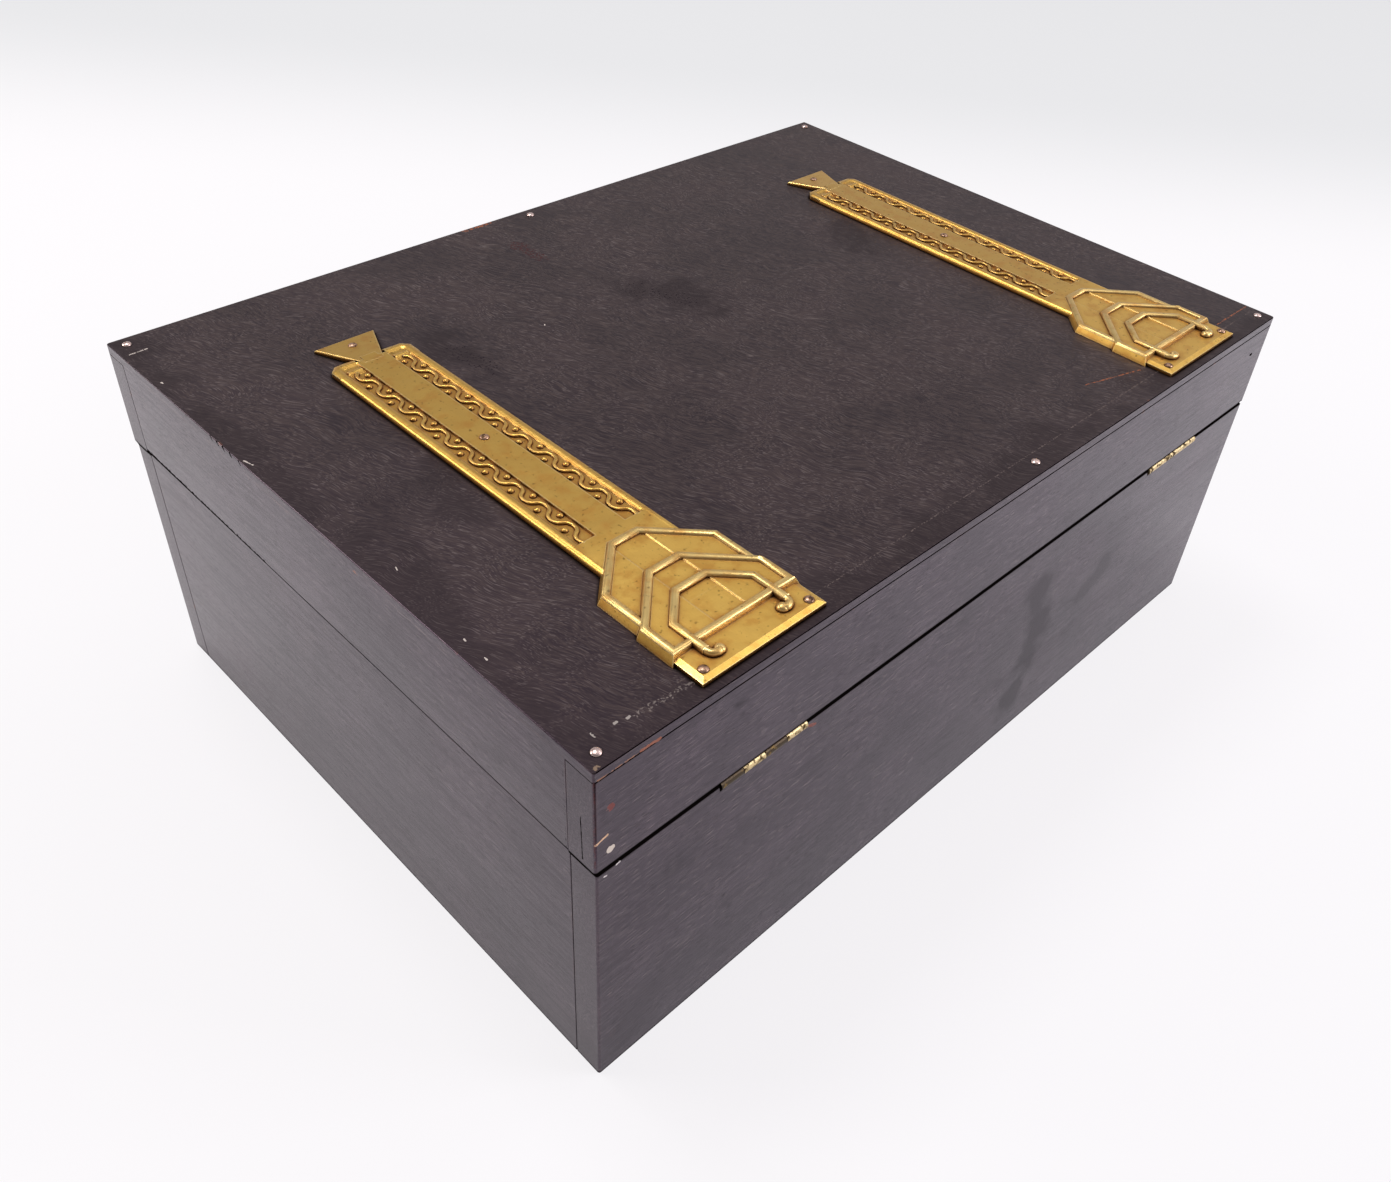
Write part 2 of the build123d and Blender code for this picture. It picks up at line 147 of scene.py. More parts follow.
add(tree, "OutputWorld", {"Surface": shown})


def soft_lamp(name, place, aim, size, power, colour):
    """A square lamp behind a diffuser, aimed at a place on the box or the paper."""
    lamp = bpy.data.lights.new(name, "AREA")
    lamp.shape = "SQUARE"
    lamp.size = size
    lamp.energy = power
    lamp.color = linear(colour)[:3]
    holder = bpy.data.objects.new(name, lamp)
    bpy.context.collection.objects.link(holder)
    holder.location = place
    holder.rotation_euler = (aim - place).to_track_quat("-Z", "Y").to_euler()


# Two lamps light the paper beyond the far ends of the sides that show, which gives those ends their shine.
# The other two light the lid and the brass.
box_middle = mm(0, 0, 60)
soft_lamp("end_lamp", Vector((0.75, -0.8, 0.7)), mm(200, -250, 0), 0.5, 6, "#fffaf4")
soft_lamp("back_lamp", Vector((-0.75, 0.9, 0.7)), mm(-200, 250, 0), 0.5, 8, "#f8f6ff")
soft_lamp("top_lamp", Vector((0.1, -0.5, 1.5)), box_middle, 0.45, 10, "#ffffff")
soft_lamp("high_lamp", Vector((-0.95, 0.2, 1.4)), box_middle, 0.5, 2, "#ffffff")


# The boards
# Plain boards of beech, about 9 mm thick, stained black-brown and waxed, nailed at the corners, then worn by
# handling. The long boards run the full length, and the ends stand between them. The thin top board is laid
# over the lid's four sides.

top_low, top_high = [corner * 1000 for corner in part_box("lid_top_board")]
half_length, half_depth, lid_top = top_high
seam_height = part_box("base_back_board")[1].z * 1000


def chosen(kind, test):
    """Selects the parts of the mesh in edit mode whose middles, in millimetres, pass a test."""
    bpy.ops.mesh.select_mode(type=kind)
    bpy.ops.mesh.select_all(action="DESELECT")
    mesh = bmesh.from_edit_mesh(bpy.context.object.data)
    for part in {"VERT": mesh.verts, "EDGE": mesh.edges, "FACE": mesh.faces}[kind]:
        if kind == "VERT":
            middle = part.co * 1000
        elif kind == "EDGE":
            middle = (part.verts[0].co + part.verts[1].co) * 500
        else:
            middle = part.calc_center_median() * 1000
        if test(part, middle):
            part.select_set(True)
    mesh.select_flush(False)
    bmesh.update_edit_mesh(bpy.context.object.data)


def block(name, low, high):
    """A block between two corners, in millimetres, left in edit mode."""
    bpy.ops.object.select_all(action="DESELECT")
    middle = (Vector(low) + Vector(high)) / 2
    bpy.ops.mesh.primitive_cube_add(size=1, location=mm(*middle))
    piece = bpy.context.object
    piece.name = name
    piece.scale = mm(*(Vector(high) - Vector(low)))
    bpy.ops.object.transform_apply()
    bpy.ops.object.mode_set(mode="EDIT")
    return piece


def without(piece, cutter):
    """The piece with the cutter's shape taken out of it."""
    bpy.context.view_layer.objects.active = piece
    cut = piece.modifiers.new("cut", "BOOLEAN")
    cut.object = cutter
    cut.operation = "DIFFERENCE"
    cut.solver = "EXACT"
    bpy.ops.object.modifier_apply(modifier=cut.name)
    bpy.data.objects.remove(cutter)
    return piece


def eased(size, segments, test):
    """Rounds the edges that pass a test."""
    chosen("EDGE", test)
    bpy.ops.mesh.bevel(offset=mm(size), segments=segments, affect="EDGES", clamp_overlap=True)


def upright(edge):
    """Whether an edge stands upright."""
    return abs(edge.verts[0].co.z - edge.verts[1].co.z) > 0.9 * edge.calc_length()


def smoothed(piece, degrees):
    """The piece shaded smooth where its faces meet at less than an angle, and crisp elsewhere."""
    bpy.ops.object.select_all(action="DESELECT")
    piece.select_set(True)
    bpy.context.view_layer.objects.active = piece
    bpy.ops.object.shade_smooth_by_angle(angle=radians(degrees))
    return piece


def brad_cutter(node):
    """A closed copy of some brads, with their heads raised a little past the outside of the box."""
    cutter = bpy.data.objects.new("holes", nodes[node].data.copy())
    bpy.context.collection.objects.link(cutter)
    bpy.context.view_layer.objects.active = cutter
    bpy.ops.object.mode_set(mode="EDIT")
    bpy.ops.mesh.select_all(action="SELECT")
    bpy.ops.mesh.remove_doubles(threshold=mm(0.005))
    near_outside, raised = 0.6, 0.2
    for out, half in ((Vector((1, 0, 0)), half_length), (Vector((0, 1, 0)), half_depth)):
        for way in (-out, out):
            chosen("VERT", lambda vertex, at: at.dot(way) > half - near_outside)
            bpy.ops.transform.translate(value=mm(*(way * raised)))
    bpy.ops.object.mode_set(mode="OBJECT")
    return cutter


def board(node, body, material, corner=0.0, top_round=0.0, seam_round=0.0, brads=(), hinges=()):
    """A board with its outer upright corners, its top's outer edges and its edges at the seam worn round.

    It has holes for its brads, and notches for its hinges.
    """
    low, high = [corner_place * 1000 for corner_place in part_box(node)]
    piece = block(node + "_worn", low, high)
    outer_y = low.y if low.y + high.y < 0 else high.y
    outer_x = low.x if low.x + high.x < 0 else high.x
    whole_lid = node == "lid_top_board"
    if corner:
        eased(corner, 3, lambda edge, at: upright(edge) and (whole_lid or abs(at.y - outer_y) < 0.01))
    if top_round:
        eased(top_round, 3, lambda edge, at: not upright(edge) and abs(at.z - high.z) < 0.01)
    if seam_round:
        seam = high.z if body == "base" else low.z
        is_long = high.x - low.x > high.y - low.y
        eased(seam_round, 1, lambda edge, at: not upright(edge) and abs(at.z - seam) < 0.01 and (
            abs(at.y - outer_y) < corner + 0.01 if is_long else abs(at.x - outer_x) < 0.01))
    # Every other sharp edge is eased a little. Only the joint under the top board is tight at the lid's ends.
    sharp = radians(57)
    eased(0.3, 2, lambda edge, at: edge.calc_face_angle() > sharp and not (
        abs(at.z - top_low.z) < 0.01 and abs(at.x) > half_length - 1.1))
    piece.data.materials.clear()
    piece.data.materials.append(material)
    if whole_lid:
        for slot, edge_axis, edge_beech in ((1, 0, end_beech), (2, 1, side_beech)):
            piece.data.materials.append(edge_beech)
            chosen("FACE", lambda face, at: abs(face.normal[edge_axis]) > 0.7)
            piece.active_material_index = slot
            bpy.ops.object.material_slot_assign()
    bpy.ops.object.mode_set(mode="OBJECT")
    for name in brads:
        without(piece, brad_cutter(name))
    # Each notch is a shallow bed for the leaves, with a deeper groove for the barrel.
    notch_half, notch_front, notch_foot = 15.3, 100.0, 83.3
    barrel_y, barrel_z, barrel_round = 107.7, 84.4, 1.65
    for hinge_x in hinges:
        cutter = block("notch", (hinge_x - notch_half, notch_front, notch_foot),
                       (hinge_x + notch_half, half_depth + 1, seam_height))
        bpy.ops.object.mode_set(mode="OBJECT")
        without(piece, cutter)
        bpy.ops.object.select_all(action="DESELECT")
        bpy.ops.mesh.primitive_cylinder_add(
            vertices=48, radius=mm(barrel_round), depth=mm(2 * notch_half),
            location=mm(hinge_x, barrel_y, barrel_z), rotation=(0, radians(90), 0))
        without(piece, bpy.context.object)
    smoothed(piece, 50)
    flat = piece.modifiers.new("flat", "WEIGHTED_NORMAL")
    flat.keep_sharp = True
    bpy.ops.object.modifier_apply(modifier=flat.name)
    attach(piece, body)
    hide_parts(node)


def stained_beech(name, grain_turn, curl, wood, pale, flecks, fleck_size, roughness, shine, edge,
                  joints=(), cracks=(), soft_patches=(), scars=()):
    """Stained, waxed beech whose grain lies at an angle from X on flat faces, with its own marks.

    A joint is a height, and how far the dark line along it reaches up and down. A crack is a thin black line
    from
    start to end, with its reach. A soft patch is a dark patch along such a line, with its reach and strength:
    a stain, and on the lid's top also a band of painted shade.
    A scar is crisp, with its reach, its colour, and how much of it is left out to break it up.
    """
    material, tree = new_material(name)
    place = add(tree, "TexCoord", out="Object")

    # The grain wanders over some 18 mm. The finest hairs are drawn 0.25 mm wide, so that they show.
    bends = add(tree, "TexNoise", {"Vector": place, "Scale": 1000 / 18.2, "Detail": 1.0}, out="Color")
    bends = add(tree, "VectorMath", {0: bends, 1: (0.5, 0.5, 0.5)}, operation="SUBTRACT")
    curled = add(tree, "VectorMath", {0: bends, 1: (mm(curl),) * 3, 2: place}, operation="MULTIPLY_ADD")
    turned = add(tree, "Mapping", {0: curled, "Rotation": (0, 0, radians(-grain_turn))})

    def grain(length, width, detail):
        """Marks of this length and width in millimetres, drawn out along the grain."""
        drawn = add(tree, "Mapping", {0: turned, "Scale": (1000 / length, 1000 / width, 1000 / width)})
        return add(tree, "TexNoise", {"Vector": drawn, "Scale": 1.0, "Detail": detail})

    # Clouds of wear some 26 mm across, faint lines and short flecks along the grain, with pale hairs on top.
    cloud = add(tree, "TexNoise", {"Vector": place, "Scale": 1000 / 26.3, "Detail": 4.0})
    paler = add(tree, "MapRange", {0: cloud, 1: 0.38, 2: 0.64})
    colour = add(tree, "Mix", {0: paler, 6: linear(wood), 7: linear(pale)}, out=2, data_type="RGBA")
    line = add(tree, "MapRange", {0: grain(22, 0.7, 2.0), 1: 0.42, 2: 0.62})
    faint = add(tree, "Math", {0: line, 1: 0.3}, operation="MULTIPLY")
    colour = add(tree, "Mix", {0: faint, 6: colour, 7: linear(flecks)}, out=2, data_type="RGBA")
    mottle = add(tree, "TexNoise", {"Vector": place, "Scale": 1000 / 5.9, "Detail": 3.0})
    mottle = add(tree, "MapRange", {0: mottle, 1: 0.35, 2: 0.6, 3: 0.5, 4: 1.0})
    fleck = add(tree, "MapRange", {0: grain(*fleck_size, 1.5), 1: 0.5, 2: 0.7})
    fleck = add(tree, "Math", {0: fleck, 1: mottle}, operation="MULTIPLY")
    strong = add(tree, "Math", {0: fleck, 1: 0.85}, operation="MULTIPLY")
    colour = add(tree, "Mix", {0: strong, 6: colour, 7: linear(flecks)}, out=2, data_type="RGBA")
    hair = add(tree, "MapRange", {0: grain(4.0, 0.25, 0.0), 1: 0.64, 2: 0.72})
    worn_off = add(tree, "MapRange", {0: cloud, 1: 0.32, 2: 0.5, 3: 0.2, 4: 1.0})
    hair = add(tree, "Math", {0: hair, 1: worn_off}, operation="MULTIPLY")
    faint = add(tree, "Math", {0: hair, 1: 0.35}, operation="MULTIPLY")
    colour = add(tree, "Mix", {0: faint, 6: colour, 7: linear("#7d726e")}, out=2, data_type="RGBA")

    # Rounded edges take another colour in places, paler where rubbed on the sides and darker on the top
    # board, and they are chipped down to red-brown wood.
    round_edge = add(tree, "Bevel", {"Radius": mm(1.1)}, samples=6)
    face = add(tree, "NewGeometry", out="Normal")
    bend = add(tree, "VectorMath", {0: round_edge, 1: face}, out="Value", operation="DOT_PRODUCT")
    rounded_edges = add(tree, "MapRange", {0: bend, 1: 0.995, 2: 0.9})
    edge_tone = add(tree, "TexNoise", {"Vector": place, "Scale": 1000 / 11.1, "Detail": 5.0})
    edge_tone = add(tree, "MapRange", {0: edge_tone, 1: 0.45, 2: 0.62, 3: 0.0, 4: 0.6})
    edge_tone = add(tree, "Math", {0: rounded_edges, 1: edge_tone}, operation="MULTIPLY")
    colour = add(tree, "Mix", {0: edge_tone, 6: colour, 7: linear(edge)}, out=2, data_type="RGBA")
    chip = add(tree, "TexNoise", {"Vector": place, "Scale": 1000 / 6.67, "Detail": 5.0})
    chip = add(tree, "MapRange", {0: chip, 1: 0.65, 2: 0.69})
    chip = add(tree, "Math", {0: rounded_edges, 1: chip}, operation="MULTIPLY")
    colour = add(tree, "Mix", {0: chip, 6: colour, 7: linear("#9c5f3c")}, out=2, data_type="RGBA")

    def distance(start, end, reach, wander):
        """Distance from the line between two places, made uneven by a share of the reach."""
        start, end = mm(*start), mm(*end)
        along = end - start
        part = along / max(along.length_squared, 1e-9)
        from_start = add(tree, "VectorMath", {0: place, 1: start}, operation="SUBTRACT")
        share = add(tree, "VectorMath", {0: from_start, 1: part}, out="Value", operation="DOT_PRODUCT")
        share = add(tree, "MapRange", {0: share})
        nearest = add(tree, "VectorMath", {0: along, 1: share, 2: start}, operation="MULTIPLY_ADD")
        away = add(tree, "VectorMath", {0: place, 1: nearest}, out="Value", operation="DISTANCE")
        return add(tree, "Math", {0: wander, 1: mm(reach), 2: away}, operation="MULTIPLY_ADD")

    # Painted shade darkens the inner corners towards black. Black dirt fills the joints and the cracks, and a
    # black line is drawn the same way along the lid's upper edge.
    black = linear("#0a0706")
    # Painted shade: ambient occlusion within 1.6 mm turns inner corners and grooves towards black.
    gap = add(tree, "AmbientOcclusion", {"Distance": mm(1.6)}, out="AO", samples=8)
    dirt_and_shade = add(tree, "MapRange", {0: gap, 1: 0.92, 2: 0.68})
    height = add(tree, "SeparateXYZ", {0: place}, out="Z")
    level = add(tree, "SeparateXYZ", {0: add(tree, "TexCoord", out="Normal")}, out="Z")
    level = add(tree, "Math", {0: level}, operation="ABSOLUTE")
    side = add(tree, "MapRange", {0: level, 1: 0.98, 2: 0.85})
    for joint, reach in joints:
        away = add(tree, "Math", {0: height, 1: mm(joint)}, operation="SUBTRACT")
        away = add(tree, "Math", {0: away}, operation="ABSOLUTE")
        seam = add(tree, "MapRange", {0: away, 1: mm(reach) * 1.25, 2: mm(reach) * 0.75})
        seam = add(tree, "Math", {0: seam, 1: side}, operation="MULTIPLY")
        dirt_and_shade = add(tree, "Math", {0: dirt_and_shade, 1: seam}, operation="MAXIMUM")
    ragged = add(tree, "TexNoise", {"Vector": place, "Scale": 1000 / 1.43, "Detail": 3.0})
    ragged = add(tree, "MapRange", {0: ragged, 1: 0.3, 2: 0.7, 3: -0.5, 4: 0.5})
    for start, end, reach in cracks:
        away = distance(start, end, reach, ragged)
        crack = add(tree, "MapRange", {0: away, 1: mm(reach), 2: mm(reach) * 0.5})
        dirt_and_shade = add(tree, "Math", {0: dirt_and_shade, 1: crack}, operation="MAXIMUM")
    colour = add(tree, "Mix", {0: dirt_and_shade, 6: colour, 7: black}, out=2, data_type="RGBA")

    # Stains, and the bands of painted shade on the lid, are soft and wander; scars are crisp, and both lie
    # over everything else.
    drift = add(tree, "TexNoise", {"Vector": place, "Scale": 1000 / 14.3, "Detail": 4.0})
    drift = add(tree, "MapRange", {0: drift, 1: 0.3, 2: 0.7, 3: -0.8, 4: 0.8})
    stain_and_shade = 0.0
    # Each soft patch darkens the colour: a stain, and on the lid's top also a band of painted shade along the
    # back and right edges.
    for start, end, reach, strength in soft_patches:
        away = distance(start, end, reach, drift)
        soft_patch = add(tree, "MapRange", {0: away, 1: mm(reach), 2: mm(reach) * 0.2, 4: strength})
        stain_and_shade = add(tree, "Math", {0: stain_and_shade, 1: soft_patch}, operation="MAXIMUM")
    colour = add(tree, "Mix", {0: stain_and_shade, 6: colour, 7: linear("#130e10")}, out=2, data_type="RGBA")

    crumbs = add(tree, "TexNoise", {"Vector": place, "Scale": 1000 / 0.77, "Detail": 2.0})
    scarred = 0.0
    for start, end, reach, tint, broken in scars:
        away = distance(start, end, reach, ragged)
        scar = add(tree, "MapRange", {0: away, 1: mm(reach), 2: mm(reach) * 0.7})
        if broken:
            kept = add(tree, "MapRange", {0: crumbs, 1: 0.3 + 0.4 * broken, 2: 0.36 + 0.4 * broken})
            scar = add(tree, "Math", {0: scar, 1: kept}, operation="MULTIPLY")
        colour = add(tree, "Mix", {0: scar, 6: colour, 7: linear(tint)}, out=2, data_type="RGBA")
        scarred = add(tree, "Math", {0: scarred, 1: scar}, operation="MAXIMUM")

    # Waxed wood is glossy between its pores, and pores, dirt, stains and painted shade aren't glossy at all.
    shallow = add(tree, "Math", {0: line, 1: 0.4}, operation="MULTIPLY")
    relief = add(tree, "Math", {0: fleck, 1: shallow}, operation="ADD")
    bump = add(tree, "Bump", {"Strength": 0.05, "Distance": mm(0.06), "Height": relief}, invert=True)
    dull = add(tree, "MapRange", {0: cloud, 1: 0.3, 2: 0.7, 3: roughness, 4: roughness + 0.08})
    dull = add(tree, "Math", {0: scarred, 1: 0.4, 2: dull}, operation="MULTIPLY_ADD")
    waxed = add(tree, "BsdfPrincipled", {
        "Base Color": colour,
        "Roughness": dull,
        "Specular IOR Level": shine,
        "Specular Tint": linear("#f2cef0"),
        "Normal": bump,
    })
    darkest = add(tree, "Math", {0: dirt_and_shade, 1: stain_and_shade}, operation="MAXIMUM")
    pores = add(tree, "Mix", {0: darkest, 6: linear(flecks), 7: black}, out=2, data_type="RGBA")
    unwaxed = add(tree, "BsdfDiffuse", {"Color": pores})
    line_share = add(tree, "Math", {0: line, 1: 0.147}, operation="MULTIPLY")
    marks = add(tree, "Math", {0: fleck, 1: 0.315}, operation="MULTIPLY")
    marks = add(tree, "Math", {0: marks, 1: line_share}, operation="MAXIMUM")
    half_stain_and_shade = add(tree, "Math", {0: stain_and_shade, 1: 0.5}, operation="MULTIPLY")
    marks = add(tree, "Math", {0: marks, 1: half_stain_and_shade}, operation="MAXIMUM")
    marks = add(tree, "Math", {0: marks, 1: dirt_and_shade}, operation="MAXIMUM")
    whole = add(tree, "Math", {0: 1.0, 1: scarred}, operation="SUBTRACT")
    marks = add(tree, "Math", {0: marks, 1: whole}, operation="MULTIPLY")
    add(tree, "OutputMaterial", {"Surface": add(tree, "MixShader", {0: marks, 1: waxed, 2: unwaxed})})
    return material


# The long boards show fine dark flecks along their grain, as beech does. Real flecks are about 0.1 mm wide,
# and these are drawn 0.26 mm wide, so that they show. Wax over the dark stain gives a smooth shine.
white_wood = "#b9aea6"
orange_wood = "#8a5236"
long_board_look = dict(
    grain_turn=0, curl=0.5, wood="#271f24", pale="#3a3036", flecks="#151012", fleck_size=(2.4, 0.26),
    roughness=0.14, shine=0.52, edge="#5e4c46")
side_beech = stained_beech(
    "stained_beech_long_boards", **long_board_look,
    # The seam, the joint under the top board, and the lid's upper edge.
    joints=((85.5, 0.95), (116.3, 0.25), (119.2, 0.2)),
    # A split in the end grain of the lid's back board, and a bite near its left end.
    cracks=(
        ((150.0, 104.0, 102.0), (150.0, 104.4, 88.0), 0.2),
        ((-141.0, 108.5, 108.0), (-140.0, 108.5, 108.2), 0.6),
    ),
    # Old spills on the back.
    soft_patches=(
        ((-26.6, 108.5, 66.0), (-34.0, 108.5, 50.0), 8.0, 0.5),
        ((-36.0, 108.5, 47.6), (-30.0, 108.5, 20.0), 14.0, 0.55),
        ((-74.0, 108.5, 50.0), (-66.0, 108.5, 46.0), 7.0, 0.4),
        ((108.0, 108.5, 110.0), (105.0, 108.5, 109.5), 1.8, 0.7),
    ),
    # Chips and rubs round the right back corner, and a chip by the right hinge.
    scars=(
        ((150.0, 108.5, 96.0), (146.4, 108.5, 97.1), 0.3, "#d0a985", 0.0),
        ((149.0, 108.5, 116.6), (138.0, 108.5, 116.7), 0.22, "#8a6044", 0.3),
        ((137.3, 108.5, 116.9), (132.0, 108.5, 116.6), 0.5, orange_wood, 0.0),
        ((149.9, 108.4, 88.0), (149.9, 108.4, 116.5), 0.3, "#43211a", 0.4),
        ((147.3, 108.5, 83.2), (146.7, 108.5, 83.0), 0.3, "#cfc8c4", 0.0),
        ((143.8, 108.5, 84.4), (142.9, 108.5, 84.6), 0.3, "#cfc8c4", 0.0),
        ((81.1, 108.5, 83.3), (78.0, 108.5, 82.0), 0.6, "#7a4432", 0.2),
    ))

# The end boards' grain runs from front to back. Their colour is painted a little paler and their wax made a
# little shinier, as painted light for the end face, which shows brighter.
end_beech = stained_beech(
    "stained_beech_end_boards", grain_turn=90, curl=0.5, wood="#282025", pale="#3c3238", flecks="#161113",
    fleck_size=(2.4, 0.26), roughness=0.14, shine=0.56, edge="#5e4c46",
    joints=((86.0, 0.7),),
    # The seam where it gapes, two splits, and five small bites out of the lid's upper edge.
    cracks=(
        ((150.0, -99.0, 86.8), (150.0, -30.0, 86.3), 0.8),
        ((149.8, 98.6, 112.0), (149.8, 99.2, 40.0), 0.22),
        ((150.0, 62.0, 50.0), (150.0, 70.0, 32.0), 0.14),
        ((150.0, -47.4, 119.2), (150.0, -46.4, 118.3), 0.4),
        ((150.0, -43.9, 119.2), (150.0, -43.1, 118.4), 0.4),
        ((150.0, -40.8, 119.2), (150.0, -39.9, 118.1), 0.4),
        ((150.0, -37.2, 119.2), (150.0, -36.4, 118.3), 0.4),
        ((150.0, -32.6, 119.2), (150.0, -31.8, 118.2), 0.4),
    ))


def on_lid(*marks):
    """Marks whose places are given in x and y, laid on top of the lid."""
    return [((*start, lid_top), (*end, lid_top), *look) for start, end, *look in marks]


# The top board's curly grain lies across the box. Its wax is rubbed matt, and its flecks are paler than it.
lid_beech = stained_beech(
    "stained_beech_lid_top", grain_turn=112, curl=9, wood="#1c1615", pale="#292120", flecks="#453b37",
    fleck_size=(3.2, 0.36), roughness=0.46, shine=0.3, edge="#15100f",
    # Painted shade in a band along the back and right edges, and old spills.
    soft_patches=on_lid(
        ((150.0, 106.0), (-150.0, 106.0), 12.0, 0.45),
        ((148.0, -110.0), (148.0, 110.0), 12.0, 0.45),
        ((6.8, -42.0), (-2.0, -22.0), 13.0, 0.5),
        ((77.0, -50.0), (73.5, -28.5), 9.0, 0.5),
        ((-85.0, -30.0), (-81.0, -16.0), 11.0, 0.5),
        ((120.0, 20.0), (100.0, -10.0), 10.0, 0.4),
    ),
    scars=on_lid(
        # The crusts of two spills, and a rub.
        ((6.8, -40.0), (0.0, -24.0), 5.0, "#0d0a09", 0.72),
        ((75.0, -44.0), (73.5, -27.5), 3.5, "#0d0a09", 0.72),
        ((17.8, -76.0), (18.4, -88.0), 2.6, "#3b2420", 0.45),
        # A fine line scored along the back, and pale nicks.
        ((120.0, 100.9), (-146.0, 101.2), 0.22, "#5a504b", 0.5),
        ((143.6, 29.3), (143.9, 30.4), 0.2, white_wood, 0.0),
        ((146.1, 59.7), (146.2, 60.4), 0.2, white_wood, 0.0),
        ((146.2, 67.4), (146.2, 68.3), 0.2, white_wood, 0.0),
        ((45.0, -39.4), (45.4, -38.8), 0.25, white_wood, 0.0),
        ((147.6, -98.4), (142.5, -98.7), 0.3, white_wood, 0.3),
        ((149.0, -31.4), (148.2, -28.4), 0.22, white_wood, 0.2),
        ((147.7, -79.2), (147.6, -78.5), 0.25, white_wood, 0.0),
        # Scratches by the near corner.
        ((143.3, 101.0), (143.4, 99.7), 0.3, "#9c948d", 0.35),
        ((137.9, 100.9), (137.3, 100.8), 0.4, "#948c86", 0.0),
        ((134.8, 101.6), (134.2, 101.4), 0.4, "#948c86", 0.0),
        ((133.0, 102.0), (118.0, 103.0), 1.0, "#6f6661", 0.6),
        ((148.8, 107.6), (148.0, 107.4), 0.5, "#7d6a58", 0.3),
        # Chips in the stain along the back edge and the front edge.
        ((-59.2, 90.7), (-80.9, 97.0), 0.28, orange_wood, 0.35),
        ((-128.6, 98.3), (-149.0, 98.5), 0.28, orange_wood, 0.35),
        ((26.0, -107.5), (15.0, -107.5), 0.8, orange_wood, 0.4),
    ))

bottom_brads = ("base_bottom_brads",)
base_brads = ("base_joint_brads",) + bottom_brads
lid_brads = ("lid_joint_brads",)
hinge_middles = (96.5, -100.3)
board("base_front_board", "base", side_beech, corner=0.7, seam_round=1.0, brads=base_brads)
board("base_back_board", "base", side_beech, corner=0.7, seam_round=1.1, brads=base_brads,
      hinges=hinge_middles)
board("base_right_end", "base", end_beech, seam_round=0.4, brads=bottom_brads)
board("base_left_end", "base", end_beech, seam_round=0.4, brads=bottom_brads)
board("base_bottom_board", "base", end_beech)
board("lid_front_board", "lid", side_beech, corner=0.7, seam_round=0.7, brads=lid_brads)
board("lid_back_board", "lid", side_beech, corner=0.7, seam_round=1.1, brads=lid_brads,
      hinges=hinge_middles)
board("lid_right_end", "lid", end_beech, seam_round=0.9)
board("lid_left_end", "lid", end_beech, seam_round=0.9)
board("lid_top_board", "lid", lid_beech, corner=0.7, top_round=0.35)


# The straps
# Each strap is one piece of thin brass sheet, stamped over a die and gilt: a square plate, a buckle of nested
# arches and a hooked loop, a long body with a sunk wave and beads on each side, and an arrow tip. Four small
# pins hold it down. Brown tarnish is left in everything that a polishing cloth doesn't reach.

# Its sizes are in millimetres: u across it, v along it from the plate's end, and z up from the wood.
plate_half, plate_high, step_v, rib = 20.2, 1.6, 9.6, 2.35
big_half, big_flat, big_top, big_panel, big_rib = 20.0, 5.3, 35.4, 2.3, 3.0
far_half, far_flat, far_top, far_panel, far_rib = 18.9, 4.7, 49.4, 1.9, 2.6
loop_half, loop_flat, loop_top, loop_rib = 14.25, 5.35, 26.4, 3.2
hook_v, bar_width = 6.2, 2.2
body_half, body_end, body_corner, body_high = 13.0, 160.3, 2.2, 1.9
channel_in, channel_out, channel_start, channel_end, channel_floor = 4.8, 10.2, 53.6, 153.4, 1.25
wave_pitch, wave_swing, wave_crest = 10.65, 1.45, 150.7
neck_half, neck_v, tip_half, tip_end, tip_high = 2.6, 158.3, 9.9, 172.8, 1.05


def arch_block(name, half, flat, top, bottom, low, high):
    """A block with its two far corners cut at 45 degrees, as every arch of the buckle has."""
    piece = block(name, (-half, bottom, low), (half, top, high))
    chosen("EDGE", lambda edge, at: abs(at.z - (low + high) / 2) < 0.01 and at.y > top - 0.01)
    bpy.ops.mesh.bevel(offset=mm(half - flat), offset_type="OFFSET", segments=1, affect="EDGES")
    bpy.ops.object.mode_set(mode="OBJECT")
    return piece


def arch_rib(name, half, flat, top, bottom, foot, high):
    """The rolled rib round an arch. Foot is its width along the bottom, or less than 0 where it is open."""
    rib_low, rib_round = 0.4, 0.95
    outer = arch_block(name, half, flat, top, bottom, rib_low, high)
    inner_flat = flat - rib * (sqrt(2) - 1)
    inner = arch_block("inside", half - rib, inner_flat, top - rib, bottom + foot, -1, high + 1)
    piece = without(outer, inner)
    bpy.ops.object.mode_set(mode="EDIT")
    chosen("EDGE", lambda edge, at: all(abs(end.co.z * 1000 - high) < 0.005 for end in edge.verts))
    bpy.ops.mesh.bevel(offset=mm(rib_round), segments=4, affect="EDGES")
    bpy.ops.object.mode_set(mode="OBJECT")
    return piece


def arch_panel(name, half, flat, top, bottom, high):
    """The flat of an arch, with splayed walls, and a middle band that is pressed a little lower."""
    splay, fold, pressed = 1, 5, 0.3
    piece = arch_block(name, half, flat, top, bottom, 0, high)
    bpy.ops.object.mode_set(mode="EDIT")
    chosen("FACE", lambda face, at: at.z < 0.01)
    long = top - bottom
    bpy.ops.transform.resize(value=((half + splay) / half, (long + 2 * splay) / long, 1))
    for side in (-1, 1):
        bpy.ops.mesh.select_all(action="SELECT")
        bpy.ops.mesh.bisect(plane_co=mm(side * fold, 0, 0), plane_no=(1, 0, 0))
    chosen("FACE", lambda face, at: at.z > high - 0.01 and abs(at.x) < fold)
    bpy.ops.mesh.inset(thickness=mm(pressed), depth=mm(-pressed))
    bpy.ops.object.mode_set(mode="OBJECT")
    return piece


def roll(offset, half_width):
    """Height of a half-round roll of height 1, at an offset from its middle."""
    return sqrt(max(0.0, 1 - (offset / half_width) ** 2))


